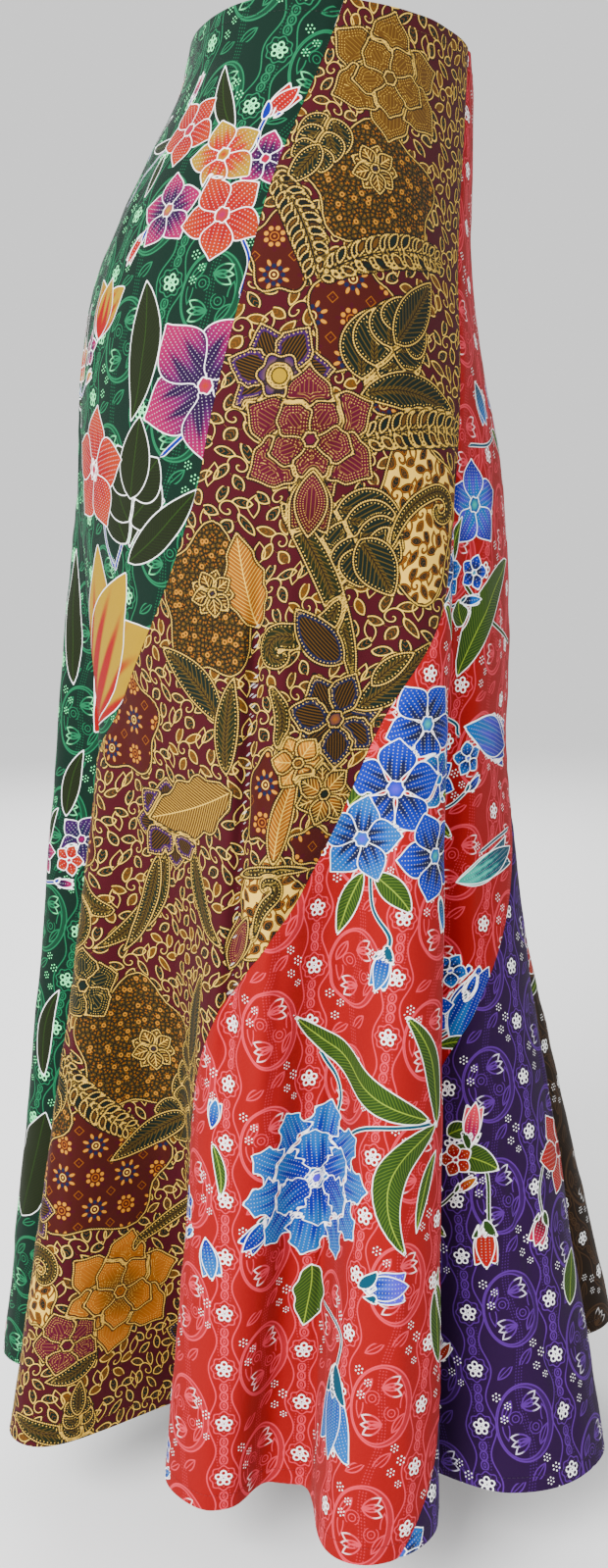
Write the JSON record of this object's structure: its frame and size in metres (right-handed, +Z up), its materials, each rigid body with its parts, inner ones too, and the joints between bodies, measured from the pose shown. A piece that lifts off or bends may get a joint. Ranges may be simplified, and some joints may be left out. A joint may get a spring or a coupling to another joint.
{
  "type": "batik skirt",
  "caption": "Long fluted batik skirt of spiralling cotton panels, hollow and filled out as when worn, open at waist and hem.",
  "frame": {"origin": "middle of the waist opening, at the height of the waist edge's back and sides, where the wearer's waist holds the skirt", "axes": "+Z up, -Y to the front of the skirt, -X to the wearer's right side"},
  "size_m": [0.4664, 0.4641, 0.9004],
  "materials": {
    "cotton_purple": "matt printed cotton",
    "cotton_red": "matt printed cotton",
    "cotton_gold": "matt printed cotton",
    "cotton_green": "matt printed cotton",
    "cotton_ochre": "matt printed cotton",
    "cotton_brown": "matt printed cotton"
  },
  "bodies": {
    "root": {"panel_purple": "cotton_purple", "panel_red": "cotton_red", "panel_gold": "cotton_gold", "panel_green": "cotton_green", "panel_ochre": "cotton_ochre", "panel_brown": "cotton_brown"}
  },
  "joints": []
}
